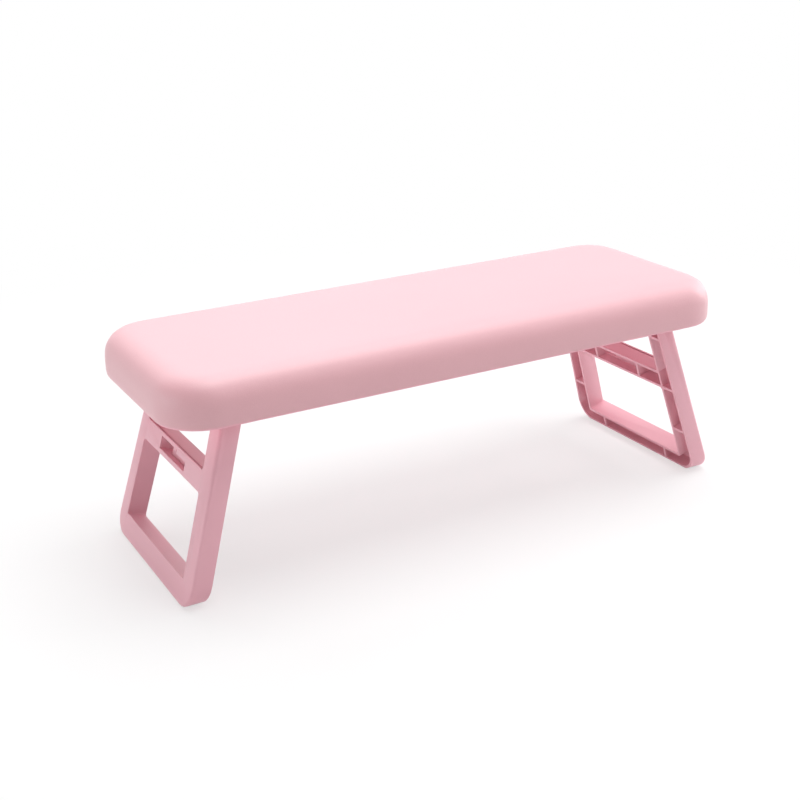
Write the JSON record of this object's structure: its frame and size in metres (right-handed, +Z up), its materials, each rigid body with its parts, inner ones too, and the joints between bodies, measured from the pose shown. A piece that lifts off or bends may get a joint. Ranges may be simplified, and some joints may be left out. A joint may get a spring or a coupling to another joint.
{
  "type": "manicure hand rest",
  "caption": "Padded rectangular hand rest with rolled edges, on splayed open-frame legs that swing on pins and fold flat into wells under the cushion.",
  "frame": {"origin": "on the table, under the middle of the pad", "axes": "+X along the pad's length, +Y across it to the back, +Z up"},
  "size_m": [0.278, 0.102, 0.1],
  "materials": {
    "cover": "satin",
    "foam": "matte",
    "board": "matte",
    "tray": "satin",
    "leg": "satin",
    "steel": "satin"
  },
  "bodies": {
    "rest": {"cushion_cover": "cover", "foam_core": "foam", "cushion_board": "board", "base_tray": "tray", "tray_screws": "steel", "left_front_hinge_pin": "steel", "left_rear_hinge_pin": "steel", "right_front_hinge_pin": "steel", "right_rear_hinge_pin": "steel"},
    "left_leg_frame": {"left_leg": "leg"},
    "right_leg_frame": {"right_leg": "leg"}
  },
  "joints": [
    {"name": "left_leg_fold", "type": "hinge", "parent": "rest", "child": "left_leg_frame", "pos_m": [-0.1095, 0, 0.08085], "axis": [0, -1, 0], "range_deg": [0, 106.7]},
    {"name": "right_leg_fold", "type": "hinge", "parent": "rest", "child": "right_leg_frame", "pos_m": [0.1095, 0, 0.08085], "axis": [0, 1, 0], "range_deg": [0, 106.7]}
  ]
}
